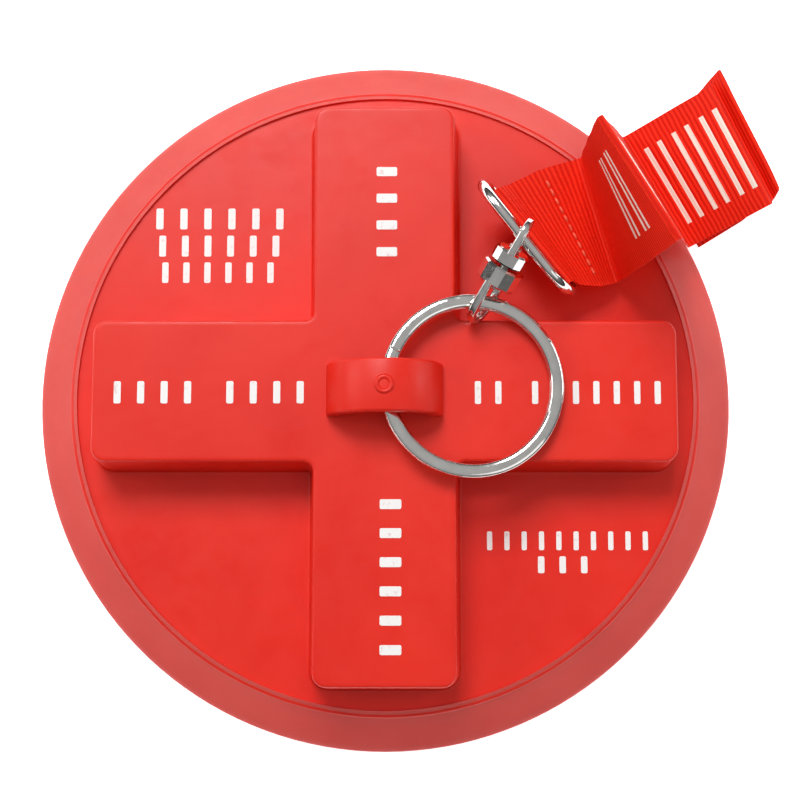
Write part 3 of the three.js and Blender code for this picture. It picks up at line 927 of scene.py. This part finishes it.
def fold_blend(piece):
    """Bakes the placement of a stretch of ribbon into its mesh."""
    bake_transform(piece)


def make_ribbon():
    """One strip of ribbon, cut into stretches that each bend at one fold."""
    path, cuts, folds = ribbon_path()
    runs = run_lengths(path)
    normals = station_normals(path)
    marks = ribbon_marks(runs, path)
    cloth = (grosgrain("Ribbon face", marks), grosgrain("Ribbon back", []))
    first, second, third, fourth = cuts
    last = len(path) - 1
    tab = ribbon_piece("ribbon_loop", path, normals, runs, 0, first, cloth)
    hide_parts("ribbon_tab")
    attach(tab, "tab")
    names = (
        ("ribbon_fold_a", first, second, ("tab", "panel_1"), 0, ("ribbon_panel_1",)),
        ("ribbon_fold_b", second, third, ("panel_1", "panel_2"), 1, ("ribbon_panel_2",)),
        ("ribbon_fold_c", third, fourth, ("panel_2", "panel_3"), 2, ("ribbon_panel_3", "ribbon_wave")),
        ("ribbon_fold_d", fourth, last, ("panel_3", "tail"), 5, ("ribbon_tail",)),
    )
    for name, start, end, bodies, fold, nodes in names:
        piece = ribbon_piece(name, path, normals, runs, start, end, cloth)
        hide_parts(*nodes)
        fold_blend(piece)


def run_at(path, runs, point):
    """Length of ribbon up to the station nearest to a point."""
    nearest = min(range(len(path)), key=lambda i: (path[i]["middle"] - point).length)
    return runs[nearest]


def ribbon_marks(runs, path):
    """Bars across the ribbon: two pairs before the first ridge, four bars after it, then three pairs. The
    four bars after the ridge are partly print and partly a painted highlight, standing for the bright
    grazing reflection on the steep panel there.
    """
    middle = RIBBON_WIDTH / 2
    ridge = run_at(path, runs, FIRST_RIDGE["middle"])
    valley = run_at(path, runs, SECOND_VALLEY["middle"])
    # partly print, partly painted highlight: cream bars for the bright grazing reflection on the steep panel
    # after the ridge
    marks = [(middle, ridge + 3.2 + 3.0 * i, 8.6, 1.1) for i in range(4)]
    pairs = ((ridge - 15.5, 6.4, 2, 1.1, 8.2), (valley + 4.2, 6.2, 3, 1.45, 8.8))
    for start, pitch, count, apart, half_width in pairs:
        for i in range(count):
            for side in (-apart, apart):
                marks.append((middle, start + pitch * i + side, half_width, 0.5))
    return marks


def make_stitches(thread):
    """Seam across the tab through both layers: a row of short stitches."""
    points, faces = [], []
    section = rounded_section(0.5, 0.34, 0.16, 3)
    station = tab_station(tab_length() * STITCH_AT, TAB_LIFT + RIBBON_THICKNESS / 2 + 0.02)
    across = station["across"]
    for i in range(STITCH_COUNT):
        centre = station["middle"] + across * ((i + 0.5) / STITCH_COUNT - 0.5) * SEAM_LENGTH
        ahead = Vector((0, 0, 1)).cross(across).normalized()
        loops = []
        for j in range(7):
            share = j / 6 - 0.5
            arch = 0.16 * (1 - (2 * share) ** 2)
            size = 1 - 0.55 * (2 * share) ** 4
            middle = centre + across * share * STITCH_LENGTH + Vector((0, 0, arch))
            loops.append([tuple(middle + ahead * a * size + Vector((0, 0, b * size))) for a, b in section])
        stitch_points, stitch_faces = skin(loops, closed=False)
        base = len(points)
        points += stitch_points
        faces += [tuple(k + base for k in face) for face in stitch_faces]
    seam = build("seam_stitches", points, faces, thread, 60)
    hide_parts("tab_stitching")
    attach(seam, "tab")


# ---- Studio ----

CAMERA_LENS = 67.5
CAMERA_AT = (2.95, -35.8, 304.0)
CAMERA_TILT = math.radians(6.8)
FLOOR_HALF = 3.0  # metres
FLOOR_GAP = 0.0002  # metres below the sealing plane
FLOOR_GLOW = 0.8
WORLD_STRENGTH = 0.36


def make_camera():
    """Camera above the cover, a little south of it and aimed at its middle."""
    data = bpy.data.cameras.new("Camera")
    data.lens = CAMERA_LENS
    data.clip_start = 0.01
    camera = bpy.data.objects.new("Camera", data)
    camera.location = place(*CAMERA_AT)
    camera.rotation_euler = (CAMERA_TILT, 0, 0)
    bpy.context.scene.collection.objects.link(camera)
    bpy.context.scene.camera = camera


def area_light(name, where, size, power):
    """White softbox that faces the origin."""
    data = bpy.data.lights.new(name, "AREA")
    data.shape = "RECTANGLE"
    data.size, data.size_y = size
    data.energy = power
    lamp = bpy.data.objects.new(name, data)
    lamp.location = where
    lamp.rotation_euler = (-Vector(where)).to_track_quat("-Z", "Y").to_euler()
    bpy.context.scene.collection.objects.link(lamp)


def floor_material():
    """Matt white floor that glows a little."""
    material, nodes, links, shader = new_material("Studio floor")
    white = ramp(nodes, links, noise(nodes, links, 3, 2), [(0.3, grey(0.93)), (0.7, grey(0.95))])
    links.new(white, shader.inputs["Base Color"])
    shader.inputs["Roughness"].default_value = 0.9
    shader.inputs["Emission Color"].default_value = (1, 1, 1, 1)
    shader.inputs["Emission Strength"].default_value = FLOOR_GLOW
    return material


def make_floor():
    """Level square just below the sealing plane."""
    material = floor_material()
    mesh = bpy.data.meshes.new("studio_floor")
    level = -ROOF * MM - FLOOR_GAP
    corners = ((-1, -1), (1, -1), (1, 1), (-1, 1))
    mesh.from_pydata([(FLOOR_HALF * x, FLOOR_HALF * y, level) for x, y in corners], [], [(0, 1, 2, 3)])
    mesh.materials.append(material)
    floor = bpy.data.objects.new("studio_floor", mesh)
    bpy.context.scene.collection.objects.link(floor)


def make_world():
    """Grey surround, brighter towards the top."""
    world = bpy.data.worlds.new("Studio")
    world.use_nodes = True
    tree = world.node_tree
    where = tree.nodes.new("ShaderNodeTexCoord")
    split = tree.nodes.new("ShaderNodeSeparateXYZ")
    tree.links.new(where.outputs["Generated"], split.inputs[0])
    stops = [(0.0, grey(0.10)), (0.35, grey(0.28)), (0.6, grey(0.85)), (1.0, grey(1.25))]
    sky = ramp(tree.nodes, tree.links, split.outputs["Z"], stops)
    tree.links.new(sky, tree.nodes["Background"].inputs["Color"])
    tree.nodes["Background"].inputs["Strength"].default_value = WORLD_STRENGTH
    bpy.context.scene.world = world


def make_lights():
    """Key softbox to the north and three weaker boxes round the cover."""
    area_light("Softbox", (-0.20, 0.66, 1.0), (0.5, 0.45), 9.6)
    area_light("Side box", (-0.9, 0.25, 0.6), (0.5, 0.5), 2.6)
    area_light("Fill", (0.6, -0.5, 0.9), (0.6, 0.6), 0.9)
    area_light("East box", (1.0, 0.3, 0.42), (0.5, 0.4), 2.0)


# ---- Scene ----

bpy.context.scene.view_settings.view_transform = "Standard"
make_camera()
make_floor()
make_world()
make_lights()
soft_red = vinyl("Moulded vinyl", (0.74, 0.012, 0.003), (0.82, 0.020, 0.005), 0.40, 0.04)
pale_red = vinyl("Thin vinyl lip", (0.66, 0.050, 0.040), (0.76, 0.075, 0.058), 0.42, 0.2)
nickel = plated("Nickel plate", (0.84, 0.83, 0.80), 0.05)
pin_steel = plated("Pin steel", (0.55, 0.54, 0.52), 0.28)
white_ink = paint("White print", (0.92, 0.90, 0.88))
make_cover(soft_red, pale_red)
make_strap(soft_red)
make_marks(white_ink)
make_ring(nickel)
make_swivel(nickel, pin_steel)
make_d_ring(nickel)
make_ribbon()
make_stitches(thread_material("Seam thread"))
